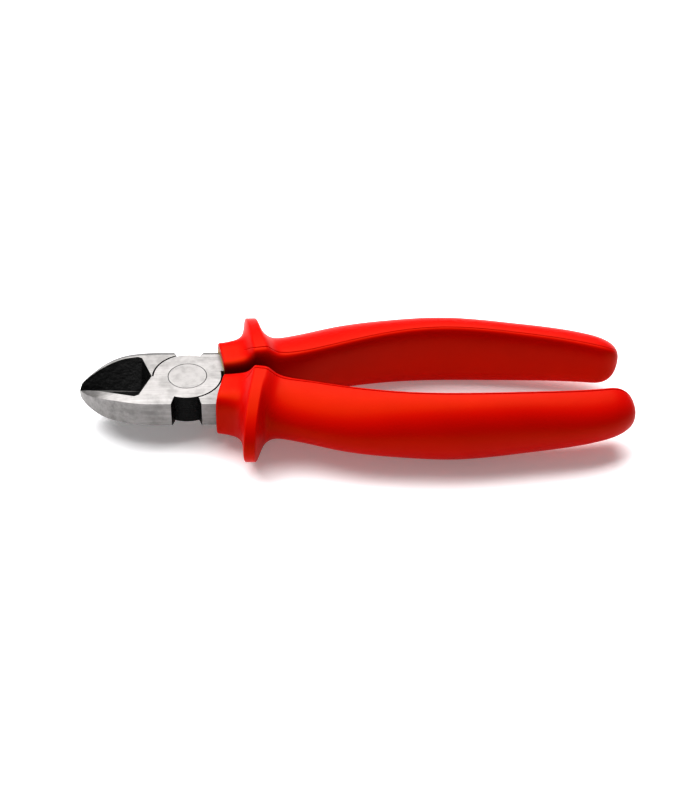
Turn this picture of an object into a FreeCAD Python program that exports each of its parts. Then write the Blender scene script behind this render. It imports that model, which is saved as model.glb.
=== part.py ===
"""Insulated diagonal cutting pliers with a riveted lap joint.

Frame: the pivot axis is Z. The origin is on that axis, in the ground face on the underside of the joint.
+X runs towards the ends of the handles, so the jaws point along -X, and +Z is up through the joint.

The two forgings cross at the lap joint. The upper half has its jaw at -Y, the disc that forms the top of the
joint, and its handle at +Y. The lower half is the same forging turned over: jaw at +Y, disc underneath,
handle at -Y. Both are modelled about the middle plane of the joint (z = 0) and lifted when they are written.
"""

import FreeCAD, Part
import math
import os

# ---------------------------------------------------------------- driving dimensions, millimetres and degrees

# overall
jaw_reach = 35.0            # pivot to jaw tip
handle_reach = 145.0        # pivot to the end of a grip
head_width = 26.2           # across both jaws behind the nose
head_thickness = 10.0       # between the ground faces
opening_angle = 40.0        # how far one half turns on the other

# lap joint and rivet
disc_radius = 10.9          # the round middle of each forging
disc_gap = 0.5              # round it, to the walls of the other forging
lap_gap = 0.06              # between the two discs
edge_gap = 0.06             # between the closed cutting edges
stop_clearance = 0.5        # degrees left between the shoulders at full opening
rivet_radius = 5.2
rivet_end_radius = 6.2      # where it is spread flush into the ground faces
rivet_flare = 1.4           # depth of each spread end
running_clearance = 0.05    # round the rivet in the half that turns on it

# jaws
nose_length = 25.0          # the part of the outline that narrows to the tip
nose_power = 2.2            # how late it starts to narrow
nose_taper = 0.7            # how blunt the tip is
top_slope_length = 16.0     # ground slope down to the tip, on the top
top_slope_drop = 4.6
under_slope_length = 11.0   # and the smaller one underneath
under_slope_drop = 2.0
top_bevel_width = 2.0       # along the outside edges of the head, on the top
top_bevel_depth = 0.8
under_bevel = 0.5
edge_height = -1.5          # cutting edges, from the middle plane
pocket_back = 11.5          # pivot to the corner of the pocket, on the top face
pocket_shoulder = 15.1      # pivot to the widest part of its back wall
pocket_end = 15.3           # pivot to the back end of the cutting edges
pocket_half_width = 10.0
pocket_corner = 1.6         # length of the flat that breaks its outer corner
pocket_nose_half_width = 5.4
back_bevel_half_width = 3.0     # the shallow bevel on the other side of the edges

# forged handle tang, flush with the side of the head at the joint
tang_neck_run = 2.5         # from the collar's mouth to where the full section starts to taper
tang_width_at_end = 5.0
tang_thickness_at_end = 6.0
tang_end_margin = 9.0       # left between the tang and the end of the grip
head_overlap = 1.0          # how far the head's own section runs into the collar before the tang starts
weld_overlap = 0.2          # how far tang and head share the same metal
tang_turn_run = 8.0         # behind the waist, where the tang has reached the middle of the grip
tang_taper_run = 20.0       # behind the swell, where it has its width at the end

# insulation
liner_thickness = 0.6
collar_face = 0.9           # inner side of the collar, from the plane between the handles
collar_inner_wall = 1.0     # the collar's walls, outside the liner
collar_outer_wall = 2.1
collar_top_wall = 2.6
mouth_gap = 1.1             # between the disc and the inner side of the collar's mouth
mouth_lean = 0.18           # the mouth leans towards the jaws on the outer side
guard_centre = 24.0         # pivot to the guard, on the inner side of the handle
guard_half_length = 2.5     # half the length of its outer tip along the handle
guard_power = 4.0           # how square the outer tip is
guard_ridge_half_length = 3.6   # the same on the top and the underside
guard_ridge_power = 3.0
guard_lean = 0.123          # it leans towards the jaws on the outer side
lean_run_out = 12.0         # behind the waist, where the sections stand square again
guard_crown = 31.9          # how far out the guard reaches
guard_rise = 12.6           # half the guard's height
grip_face_at_waist = 3.4    # inner face just behind the guard
grip_crown_at_waist = 20.9  # outermost line just behind the guard
grip_rise_at_waist = 8.6
grip_face_at_swell = 16.0   # inner face at the widest part of the hand
grip_crown_at_swell = 30.2
grip_rise_at_swell = 11.3
grip_face_at_end = 9.4
grip_crown_at_end = 23.2
grip_rise_at_end = 8.0
face_drop_past_end = 1.6    # how far each of the three still falls in the rounded end
crown_drop_past_end = 2.4
rise_drop_past_end = 0.6
waist_at = 30.0             # pivot to the waist
swell_at = 84.0             # pivot to the swell
end_cap_length = 9.0        # rounded end
end_squareness = 2.5
inner_shoulder = 2.6        # width of the rounding between the inner face and the crest
inner_squareness = 4.5
outer_squareness = 2.2
collar_squareness = 6.0
lead_in = 4.0               # how far the grip's lines and the tang start in front of the mouth

# allowance
past = 1.0                  # how far a cutting shape reaches past what it cuts

# ---------------------------------------------------------------- worked out from them

half_thickness = head_thickness / 2
recess_radius = disc_radius + disc_gap
mouth_at = disc_radius + mouth_gap
tang_neck = mouth_at + tang_neck_run
head_back = tang_neck - head_overlap    # where the head's section ends, inside the collars
wall_angle = math.radians((opening_angle + stop_clearance) / 2)
neck_inner = collar_face + collar_inner_wall + liner_thickness
neck_outer = head_width / 2
tang_width_at_joint = neck_outer - neck_inner
collar_crown = neck_outer + liner_thickness + collar_outer_wall
collar_rise = half_thickness + liner_thickness + collar_top_wall
body_end = handle_reach - end_cap_length
vector = FreeCAD.Vector


def mix(a, b, share):
    """Goes from a to b as share goes from 0 to 1."""
    return a + (b - a) * share


def smooth_step(x, start, end):
    """0 before start, 1 after end, with no corner between."""
    share = min(max((x - start) / (end - start), 0.0), 1.0)
    return share * share * (3 - 2 * share)


def smooth_line(stations):
    """The value at any x of a smooth curve through (x, value) stations, level at both ends."""
    curve = Part.BSplineCurve()
    points = [vector(x, value, 0) for x, value in stations]
    level = vector(1, 0, 0)
    places = [x for x, _ in stations]
    curve.interpolate(points, Parameters=places, InitialTangent=level, FinalTangent=level, Scale=False)
    return lambda x: curve.value(min(max(x, stations[0][0]), stations[-1][0])).y


def prism(points, low, high, plane="XY"):
    """A straight-sided solid on a closed outline in the XY plane, or in XZ and then along Y."""
    if plane == "XY":
        corners = [vector(x, y, low) for x, y in points]
        along = vector(0, 0, high - low)
    else:
        corners = [vector(x, low, z) for x, z in points]
        along = vector(0, high - low, 0)
    wire = Part.makePolygon(corners + corners[:1])
    return Part.Face(wire).extrude(along)


def disc(radius, low, high):
    return Part.makeCylinder(radius, high - low, vector(0, 0, low))


def turned_over(shape):
    """The shape turned half a turn about the X axis."""
    other = shape.copy()
    other.rotate(vector(0, 0, 0), vector(1, 0, 0), 180)
    return other


# ---------------------------------------------------------------- the closed head, before it is parted

def nose_half_width(t):
    """Half the head's width, w (1 - t^p)^q, where t runs from 0 behind the nose to 1 at the tip."""
    return head_width / 2 * (1 - t ** nose_power) ** nose_taper


def head_in_plan():
    """Both jaws seen from above: a blunt pointed nose, then straight sides back into the collars."""
    start = -(jaw_reach - nose_length)
    steps = 12
    one_side = []
    for i in range(steps):
        t = math.sin(math.pi / 2 * i / steps)
        one_side.append(vector(start - nose_length * t, nose_half_width(t), 0))
    other_side = [vector(p.x, -p.y, 0) for p in one_side]
    nose = Part.BSplineCurve()
    nose.interpolate(one_side + [vector(-jaw_reach, 0, 0)] + other_side[::-1])
    near = vector(head_back, -head_width / 2, 0)
    far = vector(head_back, head_width / 2, 0)
    edges = [
        nose.toShape(),
        Part.makeLine(other_side[0], near),
        Part.makeLine(near, far),
        Part.makeLine(far, one_side[0]),
    ]
    return Part.Face(Part.Wire(edges))


def head_from_side():
    """The head seen from the side: two flat faces, each with a curved slope down to the tip."""
    top = half_thickness
    tip = -jaw_reach - past / 2
    top_start = vector(top_slope_length - jaw_reach, 0, top)
    top_middle = vector(mix(top_start.x, tip, 0.5), 0, top - 0.15 * top_slope_drop)
    tip_top = vector(tip, 0, top - top_slope_drop)
    tip_under = vector(tip, 0, under_slope_drop - top)
    under_start = vector(under_slope_length - jaw_reach, 0, -top)
    back_under = vector(head_back, 0, -top)
    back_top = vector(head_back, 0, top)
    level = vector(-1, 0, 0)
    top_slope = Part.BSplineCurve()
    top_end = vector(-1, 0, -2.2 * top_slope_drop / top_slope_length)
    top_slope.interpolate([top_start, top_middle, tip_top], InitialTangent=level, FinalTangent=top_end)
    under_slope = Part.BSplineCurve()
    under_end = vector(-1, 0, 2 * under_slope_drop / under_slope_length)
    under_slope.interpolate([under_start, tip_under], InitialTangent=level, FinalTangent=under_end)
    edges = [
        top_slope.toShape(),
        Part.makeLine(tip_top, tip_under),
        under_slope.toShape(),
        Part.makeLine(under_start, back_under),
        Part.makeLine(back_under, back_top),
        Part.makeLine(back_top, top_start),
    ]
    return Part.Face(Part.Wire(Part.__sortEdges__(edges)))


def slope_fall(x, length, drop):
    """How far a ground slope has fallen at x: the square of the way along it."""
    share = max((-x - (jaw_reach - length)) / length, 0.0)
    return drop * share * share


def bevel_section(x, half):
    """What the bevels leave of the head at x: wide ones above, small ones underneath, narrower at the nose."""
    spare = 0.15
    wide = 0.6
    top = half_thickness - slope_fall(x, top_slope_length, top_slope_drop)
    under = half_thickness - slope_fall(x, under_slope_length, under_slope_drop)
    width = min(top_bevel_width, 0.3 * half)
    small = min(under_bevel, 0.3 * half)
    steep = top_bevel_depth / top_bevel_width
    right = [
        (half - small - spare, -under - spare),
        (half + wide, small - under + wide),
        (half + wide, top - steep * (width + wide)),
        (half - width - spare / steep * 0.4, top + spare * 0.4),
    ]
    points = [vector(x, y, z) for y, z in right + [(-y, z) for y, z in right[::-1]]]
    return Part.makePolygon(points + points[:1])


def bevelled_room():
    """The space inside the bevels, from the tip back into the collars."""
    start = -(jaw_reach - nose_length)
    steps = 20
    sections = []
    for i in range(steps + 1):
        t = min(math.sin(math.pi / 2 * i / steps), 0.998)
        sections.append(bevel_section(start - nose_length * t, nose_half_width(t)))
    nose = Part.makeLoft(sections, True, True)
    straight = Part.Face(sections[0]).extrude(vector(head_back + past - start, 0, 0))
    return nose.fuse(straight).removeSplitter()


def ground_head():
    """The closed head as it is ground, with the bevels along its outside edges."""
    plan = head_in_plan()
    plan.translate(vector(0, 0, -head_thickness))
    side = head_from_side()
    side.translate(vector(0, -head_width, 0))
    blank = plan.extrude(vector(0, 0, 2 * head_thickness)).common(side.extrude(vector(0, 2 * head_width, 0)))
    return blank.common(bevelled_room())


def pocket():
    """The hollow in front of the joint: its floor falls from each rim to the cutting edges, and its back
    wall leans from the ground face down to the back end of the edges. It reaches above the ground face."""
    above = half_thickness + past
    grow = (above - edge_height) / (half_thickness - edge_height)
    tip = -jaw_reach - past
    floor_back = vector(-pocket_end, 0, edge_height)
    floor_tip = vector(tip, 0, edge_height)

    def rim(x, y):
        """A rim point on the ground face, carried on to the height above it."""
        return vector(mix(-pocket_end, x, grow), y * grow, above)

    shoulder = -pocket_shoulder
    corner = shoulder - pocket_corner
    shoulder_width = pocket_half_width - pocket_corner * 0.45
    cutters = []
    for side in (-1, 1):
        back = rim(-pocket_back, 0)
        inner = rim(shoulder, side * shoulder_width)
        outer = vector(corner, side * pocket_half_width * grow, above)
        nose = vector(tip, side * pocket_nose_half_width * grow, above)
        middle = vector(tip, 0, above)
        wall = Part.Face(Part.makePolygon([back, inner, floor_back, back]))
        chamfer = Part.Face(Part.makePolygon([inner, outer, floor_back, inner]))
        floor = Part.makeRuledSurface(Part.makeLine(outer, nose), Part.makeLine(floor_back, floor_tip))
        lid = Part.Face(Part.makePolygon([back, inner, outer, nose, middle, back]))
        end = Part.Face(Part.makePolygon([middle, nose, floor_tip, middle]))
        centre = Part.Face(Part.makePolygon([back, floor_back, floor_tip, middle, back]))
        shell = Part.Shell([wall, chamfer, floor, lid, end, centre])
        shell.sewShape()
        solid = Part.Solid(shell)
        if solid.Volume < 0:
            solid.reverse()
        cutters.append(solid)
    return cutters


def back_bevel():
    """The shallow V on the underside that meets the pocket at the cutting edges."""
    below = -half_thickness - past
    grow = (edge_height - below) / (edge_height + half_thickness)
    half = back_bevel_half_width * grow
    section = [(0, edge_height), (half, below), (-half, below)]
    points = [vector(-jaw_reach - past, y, z) for y, z in section]
    face = Part.Face(Part.makePolygon(points + points[:1]))
    return face.extrude(vector(jaw_reach + past - pocket_end, 0, 0))


# ---------------------------------------------------------------- handles: grip, liner and tang

face_line = smooth_line([
    (mouth_at - lead_in, collar_face),
    (mouth_at + 3, collar_face),
    (waist_at, grip_face_at_waist),
    (mix(waist_at, swell_at, 0.37), mix(grip_face_at_waist, grip_face_at_swell, 0.49)),
    (mix(waist_at, swell_at, 0.72), mix(grip_face_at_waist, grip_face_at_swell, 0.88)),
    (swell_at, grip_face_at_swell),
    (mix(swell_at, body_end, 0.5), mix(grip_face_at_swell, grip_face_at_end, 0.29)),
    (body_end, grip_face_at_end),
    (handle_reach, grip_face_at_end - face_drop_past_end),
])
crown_line = smooth_line([
    (mouth_at - lead_in, collar_crown),
    (mouth_at + 1, collar_crown),
    (waist_at, grip_crown_at_waist),
    (mix(waist_at, swell_at, 0.37), mix(grip_crown_at_waist, grip_crown_at_swell, 0.75)),
    (mix(waist_at, swell_at, 0.74), grip_crown_at_swell - 0.4),
    (swell_at, grip_crown_at_swell),
    (mix(swell_at, body_end, 0.5), mix(grip_crown_at_swell, grip_crown_at_end, 0.35)),
    (body_end, grip_crown_at_end),
    (handle_reach, grip_crown_at_end - crown_drop_past_end),
])
rise_line = smooth_line([
    (mouth_at - lead_in, collar_rise),
    (mouth_at + 1, collar_rise),
    (waist_at, grip_rise_at_waist),
    (mix(waist_at, swell_at, 0.37), mix(grip_rise_at_waist, grip_rise_at_swell, 0.35)),
    (swell_at, grip_rise_at_swell),
    (mix(swell_at, body_end, 0.5), mix(grip_rise_at_swell, grip_rise_at_end, 0.33)),
    (body_end, grip_rise_at_end),
    (handle_reach, grip_rise_at_end - rise_drop_past_end),
])


def guard_share(x, half_length, power):
    """1 on the guard's tip and 0 away from it, with hollow flanks: 1 / (1 + s^n) of the way out."""
    s = abs(x - guard_centre) / half_length
    return 1 / (1 + s ** power)


def end_share(x):
    """How much of the full section is left in the rounded end: a quarter of a superellipse."""
    t = min(max((x - body_end) / end_cap_length, 0.0), 1.0)
    return (1 - t ** end_squareness) ** (1 / end_squareness)


def grip_section(x, points=13):
    """The grip cut across at x: a flat inner side, a rounded crest, and a half ellipse on the outer side.

    Each side is half a superellipse about the crest line, |y/a|^n + |z/c|^n = 1 with its own a and n. The
    two halves are separate edges that meet level at the crest.
    """
    guard = guard_share(x, guard_half_length, guard_power)
    ridge = guard_share(x, guard_ridge_half_length, guard_ridge_power)
    left = end_share(x)
    collar = 1 - smooth_step(x, mouth_at + 1, waist_at)
    lean = mix(mouth_lean, guard_lean, smooth_step(x, mouth_at, guard_centre))
    lean *= 1 - smooth_step(x, guard_centre, waist_at + lean_run_out)
    face = face_line(x)
    crown = mix(crown_line(x), guard_crown, guard)
    rise = mix(rise_line(x), guard_rise, ridge) * left
    centre = (face + crown) / 2
    face = mix(centre, face, left)
    crown = mix(centre, crown, left)
    half = (crown - face) / 2
    crest = face + min(mix(inner_shoulder, half, collar * (1 - guard)), half)
    inner_n = mix(2.0, mix(inner_squareness, collar_squareness, collar), left)
    outer_n = mix(2.0, mix(outer_squareness, collar_squareness, collar * (1 - guard)), left)

    def side(reach, n, direction):
        """Half the section, from the crest round to the crest on the other side."""
        outline = []
        for i in range(points):
            angle = math.pi * i / (points - 1)
            across = 0.0 if i in (0, points - 1) else math.sin(angle) ** (2 / n)
            up = math.copysign(abs(math.cos(angle)) ** (2 / n), math.cos(angle))
            y = crest + direction * reach * across
            outline.append(vector(x - lean * (y - collar_face), y, direction * rise * up))
        curve = Part.BSplineCurve()
        curve.interpolate(outline)
        return curve.toShape()

    return Part.Wire([side(crown - crest, outer_n, 1), side(crest - face, inner_n, -1)])


def grip_blank():
    """The outside of a grip: one loft from the mouth of its collar, over the guard, to the rounded end."""
    spread = (-2.6, -2.0, -1.6, -1.3, -1.0, -0.7, -0.35, 0.0, 0.35, 0.7, 1.0, 1.3, 1.6, 2.0, 2.6)
    places = [mouth_at, mouth_at + 1.6] + [guard_centre + guard_half_length * s for s in spread]
    first = places[-1]
    steps = 9
    places += [mix(first, body_end, (i + 1) / steps) for i in range(steps)]
    places += [body_end + end_cap_length * s for s in (0.35, 0.62, 0.82, 0.94, 0.99)]
    return Part.makeLoft([grip_section(x) for x in places], True, False)


def tang_outline(extra):
    """The tang in plan, along the middle of the grip, from inside the head to near the end of the handle."""
    start = mouth_at - lead_in
    end = handle_reach - tang_end_margin + extra
    places = [start, tang_neck, waist_at, mix(waist_at, swell_at, 0.5), swell_at, mix(swell_at, end, 0.5), end]
    inner = []
    outer = []
    for x in places:
        taper = smooth_step(x, tang_neck, swell_at + tang_taper_run)
        width = mix(tang_width_at_joint, tang_width_at_end, taper)
        at_joint = (neck_inner + neck_outer) / 2
        in_grip = (face_line(x) + crown_line(x)) / 2
        middle = mix(at_joint, in_grip, smooth_step(x, tang_neck, waist_at + tang_turn_run))
        inner.append(vector(x, middle - width / 2 - extra, 0))
        outer.append(vector(x, middle + width / 2 + extra, 0))
    inner_edge = Part.BSplineCurve()
    inner_edge.interpolate(inner)
    outer_edge = Part.BSplineCurve()
    outer_edge.interpolate(outer)
    edges = [
        inner_edge.toShape(),
        Part.makeLine(inner[-1], outer[-1]),
        outer_edge.toShape(),
        Part.makeLine(outer[0], inner[0]),
    ]
    return Part.Face(Part.Wire(Part.__sortEdges__(edges)))


def tang_blank(extra=0.0):
    """The tang, or with extra, what fits round it at that distance. Its thickness tapers to the end."""
    thick = half_thickness + extra
    thin = tang_thickness_at_end / 2 + extra
    start = mouth_at - lead_in - past
    neck = tang_neck
    end = handle_reach - tang_end_margin + extra + past
    side = [(start, -thick), (neck, -thick), (end, -thin), (end, thin), (neck, thick), (start, thick)]
    plan = tang_outline(extra)
    plan.translate(vector(0, 0, -head_thickness))
    return plan.extrude(vector(0, 0, 2 * head_thickness)).common(prism(side, -1, 2 * head_width, "XZ"))


def behind_mouth():
    """Everything behind the leaning plane of the collar's mouth."""
    wide = 3 * head_width
    far = handle_reach + 10
    at_face = mouth_at
    low = (at_face + mouth_lean * (wide + collar_face), -wide)
    high = (at_face - mouth_lean * (wide - collar_face), wide)
    return prism([low, (far, -wide), (far, wide), high], -head_thickness * 2, head_thickness * 2)


# ---------------------------------------------------------------- the two forgings and the rivet

def rivet_body(radius, end_radius, low, high):
    """The rivet, or with larger radii the hole round it: a shank with a spread end at each ground face."""
    shank = disc(radius, low, high)
    for top in (True, False):
        z = half_thickness if top else -half_thickness
        inward = -1 if top else 1
        cone = Part.makeCone(end_radius, radius, rivet_flare, vector(0, 0, z), vector(0, 0, inward))
        shank = shank.fuse(cone.common(disc(2 * end_radius, low, high)))
    return shank


def half_blank(head):
    """One half as it would be if its disc were the upper one, cut out of the closed head."""
    reach = 2 * head_width
    far_left = -jaw_reach - 5
    back = head_back
    wall = reach * math.tan(wall_angle)
    edge = edge_gap / 2
    jaw = [(0, -edge), (far_left, -edge), (far_left, -reach), (-wall, -reach)]
    shoulder = [
        (0, edge), (wall, reach), (wall, reach + 1),
        (back, reach + 1), (back, neck_inner), (neck_inner, neck_inner),
    ]
    sides = prism(jaw, -head_thickness, head_thickness).fuse(prism(shoulder, -head_thickness, head_thickness))
    sides = sides.common(head)
    other_disc = disc(recess_radius, -head_thickness, lap_gap / 2)
    own_disc = disc(disc_radius, lap_gap / 2, half_thickness)
    return sides.cut(other_disc).fuse(own_disc)


def lapped_half(head, upper):
    """A whole forging: jaw, disc, shoulder and tang, with its hole for the rivet."""
    source = head if upper else turned_over(head)
    start = head_back - weld_overlap
    side = 3 * head_width
    tang_room = [(start, -1), (handle_reach, -1), (handle_reach, side), (start, side)]
    tang = tang_blank().common(prism(tang_room, -head_thickness, head_thickness))
    half = half_blank(source).fuse(tang)
    if not upper:
        half = turned_over(half)
    gap = running_clearance if upper else 0.0
    hole = rivet_body(rivet_radius + gap, rivet_end_radius + gap, -half_thickness, half_thickness)
    return half.cut(hole).removeSplitter()


def handle_pieces(steel, upper):
    """The grip and its liner, round the tang of one half."""
    room = tang_blank(liner_thickness).common(behind_mouth())
    grip = grip_blank().cut(room)
    liner = room
    if not upper:
        grip = turned_over(grip)
        liner = turned_over(liner)
    return grip, liner.cut(steel)


# ---------------------------------------------------------------- building and writing

def build():
    head = ground_head()
    for cutter in pocket():
        head = head.cut(cutter)
    head = head.cut(back_bevel())
    upper_half = lapped_half(head, True)
    lower_half = lapped_half(head, False)
    upper_grip, upper_liner = handle_pieces(upper_half, True)
    lower_grip, lower_liner = handle_pieces(lower_half, False)
    rivet = rivet_body(rivet_radius, rivet_end_radius, -half_thickness, half_thickness)
    return {
        "upper_half": upper_half,
        "lower_half": lower_half,
        "pivot_rivet": rivet,
        "upper_grip": upper_grip,
        "lower_grip": lower_grip,
        "upper_grip_liner": upper_liner,
        "lower_grip_liner": lower_liner,
    }


def write(nodes):
    os.makedirs("parts", exist_ok=True)
    for name, shape in nodes.items():
        shape.translate(vector(0, 0, half_thickness))
        shape.exportStep("parts/" + name + ".step")
        box = shape.BoundBox
        corners = [round(v, 2) for v in (box.XMin, box.XMax, box.YMin, box.YMax, box.ZMin, box.ZMax)]
        print(name, "solids", len(shape.Solids), "valid", shape.isValid(), "volume", round(shape.Volume, 1))
        print("    box", corners)


write(build())
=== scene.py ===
"""Diagonal cutting pliers: the finished looks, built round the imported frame.

Every length in a property is in metres. The pivot axis is Z, the jaws point along -X, and the handles
run along +X. The shapes are worked out in the upper handle's place, at +Y and about the middle plane of
the joint, and the lower handle's pieces are the same shapes turned half a turn about X.
"""

import math

import bmesh
import bpy
import numpy as np
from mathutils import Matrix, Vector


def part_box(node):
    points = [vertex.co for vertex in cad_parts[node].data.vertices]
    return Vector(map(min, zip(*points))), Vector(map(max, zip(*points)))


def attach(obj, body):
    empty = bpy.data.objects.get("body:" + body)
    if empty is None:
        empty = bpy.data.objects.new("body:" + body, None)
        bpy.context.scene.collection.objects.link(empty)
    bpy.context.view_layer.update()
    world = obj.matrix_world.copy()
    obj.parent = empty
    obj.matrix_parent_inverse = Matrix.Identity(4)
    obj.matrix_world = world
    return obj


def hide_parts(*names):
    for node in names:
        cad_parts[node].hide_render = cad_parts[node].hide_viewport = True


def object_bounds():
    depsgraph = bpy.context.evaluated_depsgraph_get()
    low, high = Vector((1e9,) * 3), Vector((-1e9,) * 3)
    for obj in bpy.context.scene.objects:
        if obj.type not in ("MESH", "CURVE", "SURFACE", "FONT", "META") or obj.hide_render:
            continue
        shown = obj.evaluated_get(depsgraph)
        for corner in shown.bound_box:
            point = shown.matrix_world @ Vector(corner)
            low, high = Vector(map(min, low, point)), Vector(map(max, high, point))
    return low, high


bl_info = {
    "name": "Diagonal cutting pliers",
    "version": (1, 0, 0),
    "blender": (4, 5, 0),
    "location": "View3D > Sidebar > Pliers",
    "description": "Builds the grips, finishes and studio of a pair of insulated side cutters",
    "category": "Object",
}

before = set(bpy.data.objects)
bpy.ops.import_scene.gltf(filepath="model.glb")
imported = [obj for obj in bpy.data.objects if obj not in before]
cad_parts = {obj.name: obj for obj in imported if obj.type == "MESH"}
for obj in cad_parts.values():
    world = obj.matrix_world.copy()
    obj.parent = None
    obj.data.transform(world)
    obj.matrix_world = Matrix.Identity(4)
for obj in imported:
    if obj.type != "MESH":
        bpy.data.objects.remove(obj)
cad_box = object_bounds()

MM = 0.001
UPPER_BODY = "upper_handle"
LOWER_BODY = "lower_handle"
JOINT_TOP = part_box("pivot_rivet")[1].z
MIDDLE = JOINT_TOP / 2
RIVET_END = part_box("pivot_rivet")[1].x
GRIP_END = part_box("upper_grip")[1].x

# the grip's shape
MOUTH_LEAN = 0.18               # how far the mouth leans towards the jaws, for each unit out
GUARD_LEAN = 0.123              # the same at the guard
LEAN_RUN_OUT = 12 * MM          # behind the waist, where the sections stand square again
LEAD_IN = 4 * MM                # how far the grip's lines start in front of the mouth
FACE_RUN = 3 * MM               # how far the inner side stays level behind the mouth
COLLAR_RUN = 1 * MM             # and the other sides
FACE_DROP = 1.6 * MM            # how far each line still falls in the rounded end
CROWN_DROP = 2.4 * MM
RISE_DROP = 0.6 * MM
SIDE_POWERS = (2.2, 2.0)        # how hollow the guard's front and rear flanks are, on the outer side
TOP_POWERS = (2.0, 2.8)         # and on top
GUARD_START = 0.5 * MM          # the guard's flank fades out from in front of the mouth
GUARD_FADE = 5 * MM             # to behind it
ELLIPSE = 2.0                   # the power of a plain ellipse; a higher power is squarer
END_POWER = 2.5
INNER_POWER_GUARD = 3.4
INNER_POWER_HAND = 2.8
INNER_POWER_COLLAR = 6.0
OUTER_POWER = 2.2
OUTER_POWER_COLLAR = 4.0
SOCKET_POWER = 12.0
SEAM_FADE = (6 * MM, 2 * MM)    # in front of the guard, between which the parting line starts
DISH_FADE = 20 * MM             # behind the waist, over which the inner side becomes hollow
SOCKET_FLARE = ((0.8 * MM, 0.05 * MM), (0.2 * MM, 0.12 * MM), (0.0, 0.3 * MM))  # depth, and how much wider

# the steel pieces
MERGE = 0.002 * MM              # how close points are one point
FLAT_ANGLE = math.radians(0.5)  # faces this close to level are one face
SHARP_ANGLE = math.radians(20)  # edges this steep are shaded sharp
BREAK_ANGLE = math.radians(25)  # and edges this steep are broken

# how finely the grip is made
OUTER_COUNT = 58                # points round the outer side, and round the inner side
INNER_COUNT = 50
SEAM_STEPS = np.array([0.0, 0.3, 0.6, 1.0, 1.6])    # points beside the parting line, in half widths
FINE_STEPS = 361                # points from which the even ones are read
FRONT_ROWS = 120                # rows up to a little behind the waist
FRONT_REACH = 6 * MM
BACK_ROWS = 90
CAP_ROWS = 32
CAP_CROWDING = 2.2              # how closely the last rows stand
CAP_LAST = 0.997                # where the last row is, just short of the end
MOUTH_ROWS = 8

# stage
KEY_SIZE = (1.6, 0.9)
KEY_PLACE = (-0.1, 0.40, 0.85)
KEY_TARGET = (0.05, 0.0, 0.0)
FLOOR_REACH = 2.5
GAMMA = 0.82
SENSOR = 36.0
LOOKS_AT = (52.6 * MM, -6.7 * MM, MIDDLE)


def length(name, description, millimetres):
    """A size in metres, with its default given in millimetres."""
    return bpy.props.FloatProperty(
        name=name, description=description, default=millimetres * MM,
        unit="LENGTH", subtype="DISTANCE", precision=5)


def rotation(name, description, degrees):
    """An angle in radians, with its default given in degrees."""
    return bpy.props.FloatProperty(
        name=name, description=description, default=math.radians(degrees), subtype="ANGLE")


def colour(name, description, red, green, blue):
    """A scene-linear colour."""
    return bpy.props.FloatVectorProperty(
        name=name, description=description, default=(red, green, blue),
        subtype="COLOR", min=0.0, max=1.0)


def share(name, description, value, top=1.0):
    """A plain number from 0 to top."""
    return bpy.props.FloatProperty(name=name, description=description, default=value, min=0.0, max=top)


class PliersGrip(bpy.types.PropertyGroup):
    """Sizes of one moulded grip."""
    waist_at: length("Waist at", "Pivot to the narrow place behind the guard", 30.0)
    swell_at: length("Swell at", "Pivot to the widest place", 84.0)
    cap: length("End cap", "Length of the rounded end", 9.0)
    collar_face: length("Collar inner side", "From the plane between the handles", 1.2)
    collar_crown: length("Collar outer side", "From the plane between the handles", 16.0)
    collar_rise: length("Collar half height", "Half the collar's height", 8.2)
    mouth_at: length("Mouth at", "Pivot to the inner corner of the collar's mouth", 12.0)
    mouth_edge: length("Mouth edge", "Rounding of the collar's front edge", 0.7)
    guard_at: length("Guard at", "Pivot to the guard, at the inner side", 23.8)
    guard_crown: length("Guard reach", "How far out the guard reaches", 31.9)
    guard_rise: length("Guard half height", "Half the guard's height", 12.6)
    side_tip: length("Guard tip, side", "Length of the flat on the guard's outer tip", 2.9)
    side_front: length("Guard front, side", "How long the guard's front flank is, on the outer side", 1.5)
    side_rear: length("Guard rear, side", "How long the guard's rear flank is, on the outer side", 0.8)
    top_tip: length("Guard tip, top", "Length of the flat on the guard's top", 2.6)
    top_front: length("Guard front, top", "How long the guard's front flank is, on top", 2.2)
    top_rear: length("Guard rear, top", "How long the guard's rear flank is, on top", 3.5)
    waist_face: length("Waist inner side", "Inner side behind the guard", 3.4)
    waist_crown: length("Waist outer side", "Outer side behind the guard", 20.9)
    waist_rise: length("Waist half height", "Half the height behind the guard", 8.6)
    swell_face: length("Swell inner side", "Inner side at the widest place", 15.1)
    swell_crown: length("Swell outer side", "Outer side at the widest place", 30.2)
    swell_rise: length("Swell half height", "Half the height at the widest place", 11.3)
    end_face: length("End inner side", "Inner side where the rounded end starts", 9.4)
    end_crown: length("End outer side", "Outer side where the rounded end starts", 23.2)
    end_rise: length("End half height", "Half the height where the rounded end starts", 8.0)
    guard_shoulder: length("Shoulder at the guard", "Width of the rounding inside the guard", 3.2)
    shoulder: length("Shoulder", "Width of the rounding beside the inner side", 2.3)
    seam_width: length("Seam half width", "Half the width of the parting line", 0.22)
    seam_depth: length("Seam depth", "Depth of the parting line", 0.34)
    dish: length("Dish", "How hollow the inner side is", 0.4)
    socket_inner: length("Socket inner side", "Where the handle enters, on its inner side", 1.85)
    socket_outer: length("Socket outer side", "Where the handle enters, on its outer side", 13.75)
    socket_rise: length("Socket half height", "Half the height of the hole for the handle", 5.65)
    socket_depth: length("Socket depth", "How far the hole is open", 3.0)


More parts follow.
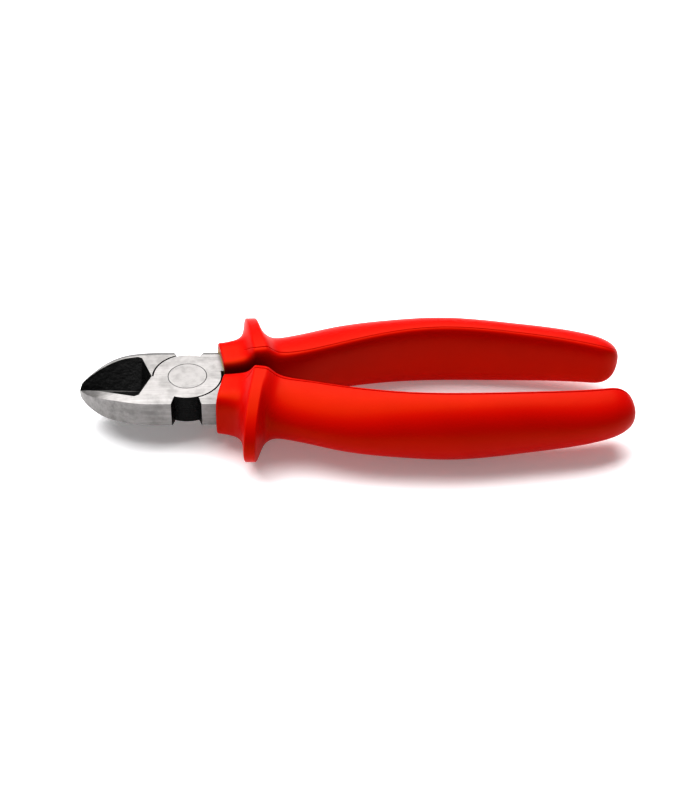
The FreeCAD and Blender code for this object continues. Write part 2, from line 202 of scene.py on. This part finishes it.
class PliersFinish(bpy.types.PropertyGroup):
    """Colours of the finishes."""
    red: colour("Grip red", "Moulded insulation", 0.50, 0.001, 0.0003)
    deep_red: colour("Deep red", "Shaded clouds in the insulation", 0.40, 0.0008, 0.0003)
    # Painted shade: this dark red stands in for the shade that falls in the fold between the handles.
    fold_shade_red: colour("Fold red", "Dull insulation in the fold between the handles", 0.10, 0.0002, 0.0001)
    gloss: colour("Grip gloss", "Tint of the insulation's highlights", 1.0, 0.9, 0.0)
    liner: colour("Liner", "Thin inner insulation", 0.50, 0.40, 0.10)
    steel: colour("Ground steel", "Ground faces", 0.27, 0.26, 0.255)
    stain: colour("Steel stain", "Clouds on the ground faces", 0.13, 0.126, 0.122)
    oxide: colour("Black oxide", "Forged faces in the pocket and the notches", 0.002, 0.002, 0.002)
    oxide_high: colour("Oxide high spots", "Rubbed high spots of the forged faces", 0.006, 0.006, 0.006)
    grip_roughness: share("Grip roughness", "Of the moulded insulation", 0.38)
    steel_roughness: share("Steel roughness", "Of the ground faces", 0.44)
    steel_edge: length("Broken edge", "Width of the bevel on the steel's edges", 0.12)


class PliersStage(bpy.types.PropertyGroup):
    """Floor, light and camera."""
    floor: colour("Floor", "Pale floor", 0.90, 0.90, 0.91)
    glow: share("Floor glow", "Brightness that the floor gives off", 0.2, 10.0)
    key: share("Key light", "Watts of the large light above and behind", 29.0, 1000.0)
    world: share("Surroundings", "Brightness of the surroundings", 0.24, 10.0)
    distance: length("Camera distance", "Camera to what it looks at", 450.0)
    elevation: rotation("Elevation", "Camera above the horizon", 40.29)
    turn: rotation("Turn", "Camera round the object", 4.96)
    roll: rotation("Roll", "Camera about its own line of sight", 2.83)
    lens: bpy.props.FloatProperty(
        name="Lens", description="Focal length in millimetres", default=62.3, min=1.0)


# ---------------------------------------------------------------- numbers and meshes

def mix(a, b, t):
    """a where t is 0, b where t is 1, and in between in proportion."""
    return a + (b - a) * t


def smooth_step(x, start, end):
    """3t^2 - 2t^3, where t runs from 0 at start to 1 at end."""
    t = np.clip((x - start) / (end - start), 0.0, 1.0)
    return t * t * (3 - 2 * t)


def clamped_spline(stations):
    """A cubic spline through (x, value) stations, level at both ends.

    The second derivatives m solve h m[i-1] + 2 (h + k) m[i] + k m[i+1] = 6 (slope after - slope before),
    where h and k are the steps on each side; the end rows make the end slopes zero. Each piece is then the
    cubic that has the stations' values and second derivatives at its ends.
    """
    xs, ys = np.array(stations, float).T
    h = np.diff(xs)
    slope = np.diff(ys) / h
    last = len(xs) - 1
    rows = np.diag(2 * np.append(h, 0) + 2 * np.insert(h, 0, 0)) + np.diag(h, 1) + np.diag(h, -1)
    bends = np.linalg.solve(rows, 6 * np.diff(slope, prepend=0.0, append=0.0))

    def at(x):
        x = np.clip(x, xs[0], xs[last])
        i = np.clip(np.searchsorted(xs, x) - 1, 0, last - 1)
        a = (xs[i + 1] - x) / h[i]
        b = 1 - a
        curve = (a ** 3 - a) * bends[i] + (b ** 3 - b) * bends[i + 1]
        return a * ys[i] + b * ys[i + 1] + curve * h[i] ** 2 / 6

    return at


def grid_piece(name, points, body, node, material):
    """A closed piece from rows of points, riding a body and standing in for a CAD node.

    The rows run round the piece, so the last point of a row joins the first. Quads join the rows. The first
    and last rows are closed by a fan on their own middle point.
    """
    rows, around, _ = points.shape
    index = np.arange(rows * around).reshape(rows, around)
    after = np.roll(index, -1, axis=1)
    quads = np.stack([index[:-1], index[1:], after[1:], after[:-1]], axis=-1).reshape(-1, 4)
    first = rows * around
    last = first + 1
    start_fan = np.stack([np.full(around, first), index[0], after[0]], axis=-1)
    end_fan = np.stack([np.full(around, last), after[-1], index[-1]], axis=-1)
    places = np.vstack([points.reshape(-1, 3), points[0].mean(0), points[-1].mean(0)])
    mesh = bpy.data.meshes.new(name)
    mesh.from_pydata(places, [], quads.tolist() + start_fan.tolist() + end_fan.tolist())
    mesh.shade_smooth()
    mesh.materials.append(material)
    piece = bpy.data.objects.new(name, mesh)
    bpy.context.scene.collection.objects.link(piece)
    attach(piece, body)
    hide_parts(node)


# ---------------------------------------------------------------- the grip's shape

def guard_share(x, g, tip, front, rear, powers):
    """1 on the guard's flat tip, and 1 / (1 + (d/h)^n) at a distance d outside it: hollow flanks."""
    out = np.maximum(np.abs(x - g.guard_at) - tip / 2, 0.0)
    before = 1 / (1 + (out / front) ** powers[0])
    behind = 1 / (1 + (out / rear) ** powers[1])
    level = np.where(x < g.guard_at, before, behind)
    return level * smooth_step(x, g.mouth_at - GUARD_START, g.mouth_at + GUARD_FADE)


def half_loop(reach, rise, n, near, count):
    """Half a superellipse |y/a|^n + |z/c|^n = 1, from its top round to its bottom.

    It is worked out finely from an angle, and then read again at even distances along its length, with the
    near distances added at both ends. These take up no more than a sixth of the length. The last value is
    each point's distance from the nearer end.
    """
    angle = np.linspace(0, np.pi, FINE_STEPS)
    y = np.maximum(np.sin(angle), 0.0) ** (2 / n) * reach
    z = np.sign(np.cos(angle)) * np.abs(np.cos(angle)) ** (2 / n) * rise
    run = np.concatenate([[0.0], np.cumsum(np.hypot(np.diff(y), np.diff(z)))])
    near = near * min(1.0, run[-1] / near[-1] / 6)
    middle = np.linspace(near[-1], run[-1] - near[-1], count)
    along = np.concatenate([near[:-1], middle, run[-1] - near[-2::-1]])
    return np.interp(along, run, y), np.interp(along, run, z), np.minimum(along, run[-1] - along)


def grip_lines(g):
    """Splines of the inner side, the crown and the half height along the handle."""
    body_end = GRIP_END - g.cap
    halfway = mix(g.swell_at, body_end, 0.5)
    near = mix(g.waist_at, g.swell_at, 0.37)
    face = clamped_spline([
        (g.mouth_at - LEAD_IN, g.collar_face),
        (g.mouth_at + FACE_RUN, g.collar_face),
        (g.waist_at, g.waist_face),
        (near, mix(g.waist_face, g.swell_face, 0.49)),
        (mix(g.waist_at, g.swell_at, 0.72), mix(g.waist_face, g.swell_face, 0.88)),
        (g.swell_at, g.swell_face),
        (halfway, mix(g.swell_face, g.end_face, 0.29)),
        (body_end, g.end_face),
        (GRIP_END, g.end_face - FACE_DROP),
    ])
    crown = clamped_spline([
        (g.mouth_at - LEAD_IN, g.collar_crown),
        (g.mouth_at + COLLAR_RUN, g.collar_crown),
        (g.waist_at, g.waist_crown),
        (near, mix(g.waist_crown, g.swell_crown, 0.75)),
        (mix(g.waist_at, g.swell_at, 0.74), g.swell_crown - 0.4 * MM),
        (g.swell_at, g.swell_crown),
        (halfway, mix(g.swell_crown, g.end_crown, 0.35)),
        (body_end, g.end_crown),
        (GRIP_END, g.end_crown - CROWN_DROP),
    ])
    rise = clamped_spline([
        (g.mouth_at - LEAD_IN, g.collar_rise),
        (g.mouth_at + COLLAR_RUN, g.collar_rise),
        (g.waist_at, g.waist_rise),
        (near, mix(g.waist_rise, g.swell_rise, 0.35)),
        (g.swell_at, g.swell_rise),
        (halfway, mix(g.swell_rise, g.end_rise, 0.33)),
        (body_end, g.end_rise),
        (GRIP_END, g.end_rise - RISE_DROP),
    ])
    return face, crown, rise


def grip_rows(g, x):
    """Rows of the grip's skin at each x: a flat inner side, a rounded crest and a full outer side.

    Each side is half a superellipse from the crest. The guard draws the crown and the height out to its
    own. The rounded end shrinks the section by (1 - t^n)^(1/n). Each row leans by a share of y. The parting
    line is a groove (1 - (s/w)^2)^2 deep at a distance s from the crest, and the inner side is hollow by
    (1 - (z/c)^2)^2.
    """
    face, crown, rise = (line(x) for line in grip_lines(g))
    side = guard_share(x, g, g.side_tip, g.side_front, g.side_rear, SIDE_POWERS)
    top = guard_share(x, g, g.top_tip, g.top_front, g.top_rear, TOP_POWERS)
    left = (1 - np.clip((x - GRIP_END + g.cap) / g.cap, 0.0, 1.0) ** END_POWER) ** (1 / END_POWER)
    collar = (1 - smooth_step(x, g.mouth_at + COLLAR_RUN, g.waist_at)) * (1 - top)
    behind = smooth_step(x, g.guard_at, g.waist_at + LEAN_RUN_OUT)
    lean = mix(MOUTH_LEAN, GUARD_LEAN, smooth_step(x, g.mouth_at, g.guard_at)) * (1 - behind)
    crown = mix(crown, g.guard_crown, side)
    rise = mix(rise, g.guard_rise, top) * left
    centre = (face + crown) / 2
    face = mix(centre, face, left)
    crown = mix(centre, crown, left)
    half = (crown - face) / 2
    crest = face + np.minimum(mix(mix(g.guard_shoulder, g.shoulder, behind), half, collar), half)
    inner_power = mix(mix(INNER_POWER_GUARD, INNER_POWER_HAND, behind), INNER_POWER_COLLAR, collar)
    inner_n = mix(ELLIPSE, inner_power, left)
    outer_n = mix(ELLIPSE, mix(OUTER_POWER, OUTER_POWER_COLLAR, collar), left)
    depth = g.seam_depth * left * smooth_step(x, g.guard_at - SEAM_FADE[0], g.guard_at - SEAM_FADE[1])
    dish = g.dish * left * smooth_step(x, g.waist_at, g.waist_at + DISH_FADE)
    near = SEAM_STEPS * g.seam_width
    rows = []
    for i in range(len(x)):
        out_y, out_z, out_s = half_loop(crown[i] - crest[i], rise[i], outer_n[i], near, OUTER_COUNT)
        in_y, in_z, in_s = half_loop(crest[i] - face[i], rise[i], inner_n[i], near, INNER_COUNT)
        in_y = in_y - dish[i] * (1 - (in_z / rise[i]) ** 2) ** 2
        y = np.concatenate([crest[i] + out_y[:-1], crest[i] - in_y[:0:-1]])
        z = np.concatenate([out_z[:-1], in_z[:0:-1]])
        s = np.concatenate([out_s[:-1], in_s[:0:-1]])
        groove = depth[i] * np.maximum(1 - (s / g.seam_width) ** 2, 0.0) ** 2
        z = z - np.sign(z) * groove
        rows.append(np.stack([x[i] - lean[i] * (y - g.collar_face), y, z], axis=-1))
    return np.array(rows)


def socket_row(g, x, grow):
    """The hole for the handle at x: a superellipse with square corners, larger by grow."""
    middle = (g.socket_inner + g.socket_outer) / 2
    reach = (g.socket_outer - g.socket_inner) / 2 + grow
    rise = g.socket_rise + grow
    near = SEAM_STEPS * g.seam_width
    out_y, out_z, _ = half_loop(reach, rise, SOCKET_POWER, near, OUTER_COUNT)
    in_y, in_z, _ = half_loop(reach, rise, SOCKET_POWER, near, INNER_COUNT)
    y = np.concatenate([middle + out_y[:-1], middle - in_y[:0:-1]])
    z = np.concatenate([out_z[:-1], in_z[:0:-1]])
    return np.stack([x - MOUTH_LEAN * (y - g.collar_face), y, z], axis=-1)


def grip_skin(g):
    """The whole moulding: the hole for the handle, the mouth, the skin over the guard and the rounded end.

    The mouth's edge is a quarter of a circle between the skin and the flat front, stepped by its angle.
    """
    start = g.mouth_at + g.mouth_edge
    front = np.linspace(start, g.waist_at + FRONT_REACH, FRONT_ROWS)
    back = np.linspace(front[-1], GRIP_END - g.cap, BACK_ROWS)[1:]
    t = np.linspace(0, CAP_LAST, CAP_ROWS)[1:]
    cap = GRIP_END - g.cap + g.cap * (1 - (1 - t) ** CAP_CROWDING)
    skin = grip_rows(g, np.concatenate([front, back, cap]))
    hole = [socket_row(g, g.mouth_at + g.socket_depth, 0.0)]
    hole += [socket_row(g, g.mouth_at + deep, grow) for deep, grow in SOCKET_FLARE]
    inward = hole[-1][:, 1:] - skin[0][:, 1:]
    inward = inward / np.linalg.norm(inward, axis=1, keepdims=True)
    edge = []
    for angle in np.linspace(np.pi / 2, 0, MOUTH_ROWS)[:-1]:
        ring = skin[0].copy()
        ring[:, 1:] += inward * g.mouth_edge * (1 - math.cos(angle))
        ring[:, 0] = start - g.mouth_edge * math.sin(angle) - MOUTH_LEAN * (ring[:, 1] - g.collar_face)
        edge.append(ring)
    return np.concatenate([np.array(hole), np.array(edge), skin])


def turned_over(points):
    """Half a turn about the X axis, about the middle plane."""
    return points * np.array([1.0, -1.0, -1.0])


class PLIERS_OT_grips(bpy.types.Operator):
    """Mould both grips over the handles"""
    bl_idname = "pliers.grips"
    bl_label = "Grips"

    def execute(self, context):
        g = context.scene.pliers_grip
        skin = grip_skin(g)
        material = red_insulation(context.scene.pliers_finish)
        lift = np.array([0.0, 0.0, MIDDLE])
        upper = skin + lift
        lower = turned_over(skin) + lift
        grid_piece("upper_grip_moulding", upper, UPPER_BODY, "upper_grip", material)
        grid_piece("lower_grip_moulding", lower, LOWER_BODY, "lower_grip", material)
        return {"FINISHED"}


# ---------------------------------------------------------------- finishes

class Nodes:
    """A material's nodes, each made and joined by one short call."""

    def __init__(self, name):
        self.material = bpy.data.materials.new(name)
        self.material.use_nodes = True
        self.tree = self.material.node_tree
        self.shader = self.tree.nodes["Principled BSDF"]
        self.place = self.add("ShaderNodeTexCoord").outputs["Object"]

    def add(self, kind, **settings):
        node = self.tree.nodes.new(kind)
        for key, value in settings.items():
            setattr(node, key, value)
        return node

    def put(self, socket, value):
        """Joins value to a socket, or sets the socket to it."""
        if isinstance(value, bpy.types.NodeSocket):
            self.tree.links.new(value, socket)
        else:
            socket.default_value = value

    def maths(self, operation, *values):
        node = self.add("ShaderNodeMath", operation=operation)
        for socket, value in zip(node.inputs, values):
            self.put(socket, value)
        return node.outputs[0]

    def axes(self, vector):
        node = self.add("ShaderNodeSeparateXYZ")
        self.put(node.inputs[0], vector)
        return node.outputs

    def stretched(self, x, y, z, turn=0.0):
        """The place, turned about Z and then scaled along each axis."""
        node = self.add("ShaderNodeMapping")
        self.put(node.inputs["Vector"], self.place)
        node.inputs["Scale"].default_value = (x, y, z)
        node.inputs["Rotation"].default_value = (0.0, 0.0, turn)
        return node.outputs[0]

    def noise(self, vector, scale, detail=4.0, roughness=0.5):
        node = self.add("ShaderNodeTexNoise")
        self.put(node.inputs["Vector"], vector)
        node.inputs["Scale"].default_value = scale
        node.inputs["Detail"].default_value = detail
        node.inputs["Roughness"].default_value = roughness
        return node.outputs["Fac"]

    def ramp(self, value, low, high, start=0.0, end=1.0):
        """start below low, end above high, and smoothly between."""
        node = self.add("ShaderNodeMapRange", interpolation_type="SMOOTHSTEP")
        for socket, number in zip(node.inputs, (value, low, high, start, end)):
            self.put(socket, number)
        return node.outputs[0]

    def blend(self, factor, first, second):
        """A colour: first where factor is 0 and second where it is 1."""
        node = self.add("ShaderNodeMix", data_type="RGBA")
        self.put(node.inputs[0], factor)
        self.put(node.inputs[6], first if isinstance(first, bpy.types.NodeSocket) else (*first, 1.0))
        self.put(node.inputs[7], second if isinstance(second, bpy.types.NodeSocket) else (*second, 1.0))
        return node.outputs[2]

    def bump(self, height, strength, distance):
        node = self.add("ShaderNodeBump")
        node.inputs["Strength"].default_value = strength
        node.inputs["Distance"].default_value = distance
        self.put(node.inputs["Height"], height)
        return node.outputs[0]

    def finish(self, **sockets):
        for name, value in sockets.items():
            self.put(self.shader.inputs[name.replace("_", " ")], value)
        return self.material


def red_insulation(f):
    """Semi-gloss moulded red, faintly clouded, with painted shade in the fold between the handles and a
    fine orange peel.
    """
    n = Nodes("red_insulation")
    clouds = n.ramp(n.noise(n.place, 60.0, 3.0), 0.35, 0.75)
    tone = n.blend(n.maths("MULTIPLY", clouds, 0.25), f.red, f.deep_red)
    x, y, _ = n.axes(n.place)
    # Painted shade: the inner sides by the collars and guards darken towards the fold red, where shade
    # falls between the handles.
    inward = n.ramp(n.maths("ABSOLUTE", y), 1.5 * MM, 4.0 * MM, 1.0, 0.0)
    fold_shade = n.maths("MULTIPLY", inward, n.ramp(x, 27.0 * MM, 62.0 * MM, 0.8, 0.0))
    tone = n.blend(fold_shade, tone, f.fold_shade_red)
    peel = n.noise(n.place, 1400.0, 2.0)
    wear = n.noise(n.place, 240.0, 5.0, 0.6)
    roughness = n.maths("ADD", n.maths("MULTIPLY", wear, 0.12), f.grip_roughness - 0.06)
    return n.finish(
        Base_Color=tone, Roughness=roughness, Specular_IOR_Level=0.08, Specular_Tint=(*f.gloss, 1.0),
        Normal=n.bump(peel, 0.06, 0.0002))


def ground_steel(f, name, grey):
    """Ground steel with fine marks along the tool, grey clouds and a dark line round the rivet.

    grey is how much the clouds show everywhere.
    """
    n = Nodes(name)
    fine = n.noise(n.stretched(60.0, 2600.0, 900.0, 0.15), 1.0, 5.0, 0.65)
    coarse = n.noise(n.stretched(120.0, 900.0, 600.0, -0.4), 1.0, 4.0, 0.6)
    clouds = n.noise(n.place, 260.0, 5.0, 0.6)
    stain = n.maths("ADD", n.ramp(clouds, 0.35, 0.75, 0.0, 0.5), grey)
    streaks = n.ramp(fine, 0.35, 0.7, 0.0, 0.35)
    tone = n.blend(n.maths("ADD", stain, streaks), f.steel, f.stain)
    tone = n.blend(n.maths("MULTIPLY", rivet_line(n), 0.85), tone, f.oxide)
    roughness = n.maths("ADD", n.maths("MULTIPLY", coarse, 0.22), f.steel_roughness - 0.10)
    return n.finish(Base_Color=tone, Metallic=1.0, Roughness=roughness, Normal=n.bump(fine, 0.15, 0.00006))


def black_oxide(f):
    """Lumpy forged skin: black, with small glossy high spots."""
    n = Nodes("black_oxide")
    lumps = n.noise(n.place, 480.0, 5.0, 0.7)
    grain = n.noise(n.place, 1500.0, 3.0, 0.6)
    tone = n.blend(n.ramp(lumps, 0.45, 0.75), f.oxide, f.oxide_high)
    roughness = n.ramp(grain, 0.3, 0.7, 0.22, 0.55)
    relief = n.maths("ADD", lumps, n.maths("MULTIPLY", grain, 0.25))
    return n.finish(
        Base_Color=tone, Roughness=roughness, Specular_IOR_Level=0.10, Normal=n.bump(relief, 0.8, 0.0008))


def rivet_line(n):
    """1 on a thin ring where the rivet's end meets the ground face."""
    x, y, _ = n.axes(n.place)
    radius = n.maths("SQRT", n.maths("ADD", n.maths("MULTIPLY", x, x), n.maths("MULTIPLY", y, y)))
    away = n.maths("ABSOLUTE", n.maths("SUBTRACT", radius, RIVET_END))
    return n.ramp(away, 0.07 * MM, 0.15 * MM, 1.0, 0.0)


def rivet_steel(f):
    """The rivet's end: ground with the head, with its own marks and a thin dark line round it."""
    n = Nodes("rivet_steel")
    fine = n.noise(n.stretched(2200.0, 80.0, 900.0, 0.5), 1.0, 5.0, 0.65)
    clouds = n.noise(n.place, 420.0, 5.0, 0.6)
    tone = n.blend(n.ramp(clouds, 0.4, 0.8, 0.25, 0.6), f.steel, f.stain)
    tone = n.blend(n.maths("MULTIPLY", rivet_line(n), 0.85), tone, f.oxide)
    roughness = n.maths("ADD", n.maths("MULTIPLY", clouds, 0.2), f.steel_roughness - 0.08)
    return n.finish(Base_Color=tone, Metallic=1.0, Roughness=roughness, Normal=n.bump(fine, 0.12, 0.00006))


def liner_insulation(f):
    """Dull yellow dipped layer, a little dirty."""
    n = Nodes("liner_insulation")
    dirt = n.ramp(n.noise(n.place, 700.0, 4.0), 0.4, 0.8)
    tone = n.blend(dirt, f.liner, (0.20, 0.17, 0.08))
    return n.finish(Base_Color=tone, Roughness=0.6, Normal=n.bump(dirt, 0.2, 0.0001))


def dress(node, material):
    """Gives a CAD node a finish."""
    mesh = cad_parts[node].data
    mesh.materials.clear()
    mesh.materials.append(material)


def steel_piece(name, node, body, materials, edge):
    """A copy of a CAD node with doubles merged, flat faces joined and edges broken by a small bevel.

    The first material is for ground faces, and the second for the faces left forged.
    """
    bm = bmesh.new()
    bm.from_mesh(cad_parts[node].data)
    bmesh.ops.remove_doubles(bm, verts=bm.verts, dist=MERGE)
    bmesh.ops.dissolve_limit(bm, angle_limit=FLAT_ANGLE, verts=bm.verts, edges=bm.edges)
    for rim in bm.edges:
        rim.smooth = rim.calc_face_angle(0.0) < SHARP_ANGLE
    mesh = bpy.data.meshes.new(name)
    bm.to_mesh(mesh)
    bm.free()
    mesh.shade_smooth()
    mesh.materials.clear()
    for material in materials:
        mesh.materials.append(material)
    mesh.polygons.foreach_set("material_index", forged_faces(mesh))
    piece = bpy.data.objects.new(name, mesh)
    bpy.context.scene.collection.objects.link(piece)
    bevel = piece.modifiers.new("broken edges", "BEVEL")
    bevel.width = edge
    bevel.segments = 2
    bevel.limit_method = "ANGLE"
    bevel.angle_limit = BREAK_ANGLE
    bevel.harden_normals = True
    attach(piece, body)
    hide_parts(node)


def forged_faces(mesh):
    """1 for each face left forged: the walls of the pocket and the notches, and those round the discs.

    In millimetres. The pocket lies in front of the disc, above the cutting edges and under the ground face.
    Its back wall is behind wall_end. The notches reach notch_angle to each side of the Y axis.
    """
    pocket_start = -11.2
    wall_end = -18.0
    edge_height, ground_height = 2.9, 9.95
    inner_radius, outer_radius = 10.7, 11.5
    notch_angle = math.radians(20.25)
    notch_margin = 0.3
    count = len(mesh.polygons)
    centre = np.empty(count * 3)
    normal = np.empty(count * 3)
    mesh.polygons.foreach_get("center", centre)
    mesh.polygons.foreach_get("normal", normal)
    x, y, z = centre.reshape(-1, 3).T / MM
    along, across, up = normal.reshape(-1, 3).T
    radius = np.hypot(x, y)
    upright = np.abs(up) < 0.2
    facing_in = (across * y < -0.2) | ((along < -0.6) & (x > wall_end))
    sloping = (up > 0.2) & (up < 0.9)
    pocket = (x < pocket_start) & (z > edge_height) & (z < ground_height) & sloping & facing_in
    round_disc = upright & (radius > inner_radius) & (radius < outer_radius) & (np.abs(y) < -pocket_start)
    in_wedge = np.abs(x) < np.abs(y) * math.tan(notch_angle) + notch_margin
    notch = upright & in_wedge & (radius > inner_radius)
    parting = (np.abs(y) < 0.1) & (x < pocket_start)
    return (pocket | parting | round_disc | notch).astype(np.int32)


class PLIERS_OT_forgings(bpy.types.Operator):
    """Finish both forgings and the rivet"""
    bl_idname = "pliers.forgings"
    bl_label = "Forgings and rivet"

    def execute(self, context):
        finish = context.scene.pliers_finish
        oxide = black_oxide(finish)
        near = [ground_steel(finish, "ground_steel", 0.0), oxide]
        far = [ground_steel(finish, "ground_steel_grey", 0.12), oxide]
        rivet = [rivet_steel(finish), oxide]
        steel_piece("upper_forging", "upper_half", UPPER_BODY, near, finish.steel_edge)
        steel_piece("lower_forging", "lower_half", LOWER_BODY, far, finish.steel_edge)
        steel_piece("spread_rivet", "pivot_rivet", LOWER_BODY, rivet, finish.steel_edge)
        return {"FINISHED"}


class PLIERS_OT_liners(bpy.types.Operator):
    """Finish the inner insulation of both handles"""
    bl_idname = "pliers.liners"
    bl_label = "Liners"

    def execute(self, context):
        material = liner_insulation(context.scene.pliers_finish)
        dress("upper_grip_liner", material)
        dress("lower_grip_liner", material)
        return {"FINISHED"}


# ---------------------------------------------------------------- stage

def area_light(name, watts, size, place, target):
    """A soft light of the given width and depth at place, facing target."""
    light = bpy.data.lights.new(name, "AREA")
    light.energy = watts
    light.shape = "RECTANGLE"
    light.size, light.size_y = size
    holder = bpy.data.objects.new(name, light)
    holder.location = place
    away = Vector(place) - Vector(target)
    holder.rotation_euler = away.to_track_quat("Z", "Y").to_euler()
    bpy.context.scene.collection.objects.link(holder)


class PLIERS_OT_stage(bpy.types.Operator):
    """Set the floor, the light and the camera"""
    bl_idname = "pliers.stage"
    bl_label = "Stage"

    def execute(self, context):
        s = context.scene.pliers_stage
        self.floor(s)
        area_light("key", s.key, KEY_SIZE, KEY_PLACE, KEY_TARGET)
        world = bpy.data.worlds.new("surroundings")
        world.use_nodes = True
        background = world.node_tree.nodes["Background"]
        background.inputs["Strength"].default_value = s.world
        background.inputs["Color"].default_value = (1.0, 1.0, 1.0, 1.0)
        context.scene.world = world
        context.scene.view_settings.view_transform = "Standard"
        context.scene.view_settings.gamma = GAMMA
        self.camera(context.scene, s)
        return {"FINISHED"}

    def floor(self, s):
        """A flat sheet at the height of the tool's lowest point."""
        reach = FLOOR_REACH
        low = cad_box[0].z
        mesh = bpy.data.meshes.new("floor")
        corners = [(-reach, -reach, low), (reach, -reach, low), (reach, reach, low), (-reach, reach, low)]
        mesh.from_pydata(corners, [], [(0, 1, 2, 3)])
        n = Nodes("floor_paper")
        mesh.materials.append(n.finish(
            Base_Color=(*s.floor, 1.0), Roughness=0.7, Specular_IOR_Level=0.1,
            Emission_Color=(1.0, 1.0, 1.0, 1.0), Emission_Strength=s.glow))
        floor = bpy.data.objects.new("floor", mesh)
        bpy.context.scene.collection.objects.link(floor)

    def camera(self, scene, s):
        """Looks at a point between the jaws and the grips, from in front and above."""
        data = bpy.data.cameras.new("camera")
        data.lens = s.lens
        data.sensor_width = SENSOR
        level = math.cos(s.elevation)
        sight = Vector((math.sin(s.turn) * level, math.cos(s.turn) * level, -math.sin(s.elevation)))
        target = Vector(LOOKS_AT)
        holder = bpy.data.objects.new("camera", data)
        turn = sight.to_track_quat("-Z", "Y").to_matrix() @ Matrix.Rotation(s.roll, 3, "Z")
        holder.matrix_world = Matrix.Translation(target - sight * s.distance) @ turn.to_4x4()
        scene.collection.objects.link(holder)
        scene.camera = holder


class PLIERS_PT_panel(bpy.types.Panel):
    """Lists the pieces in the order they are made"""
    bl_idname = "PLIERS_PT_panel"
    bl_label = "Diagonal cutting pliers"
    bl_space_type = "VIEW_3D"
    bl_region_type = "UI"
    bl_category = "Pliers"

    def draw(self, context):
        for operator in OPERATORS:
            self.layout.operator(operator.bl_idname)
        for group_name in GROUPS:
            group = getattr(context.scene, group_name)
            column = self.layout.column()
            for name in group.__annotations__:
                column.prop(group, name)


GROUPS = {"pliers_grip": PliersGrip, "pliers_finish": PliersFinish, "pliers_stage": PliersStage}
OPERATORS = [PLIERS_OT_grips, PLIERS_OT_forgings, PLIERS_OT_liners, PLIERS_OT_stage]


def register():
    for name, group in GROUPS.items():
        bpy.utils.register_class(group)
        setattr(bpy.types.Scene, name, bpy.props.PointerProperty(type=group))
    for kind in OPERATORS + [PLIERS_PT_panel]:
        bpy.utils.register_class(kind)


def unregister():
    for kind in [PLIERS_PT_panel] + OPERATORS[::-1]:
        bpy.utils.unregister_class(kind)
    for name, group in GROUPS.items():
        delattr(bpy.types.Scene, name)
        bpy.utils.unregister_class(group)


def main():
    register()
    for operator in OPERATORS:
        group, action = operator.bl_idname.split(".")
        getattr(getattr(bpy.ops, group), action)()


if __name__ == "__main__":
    main()
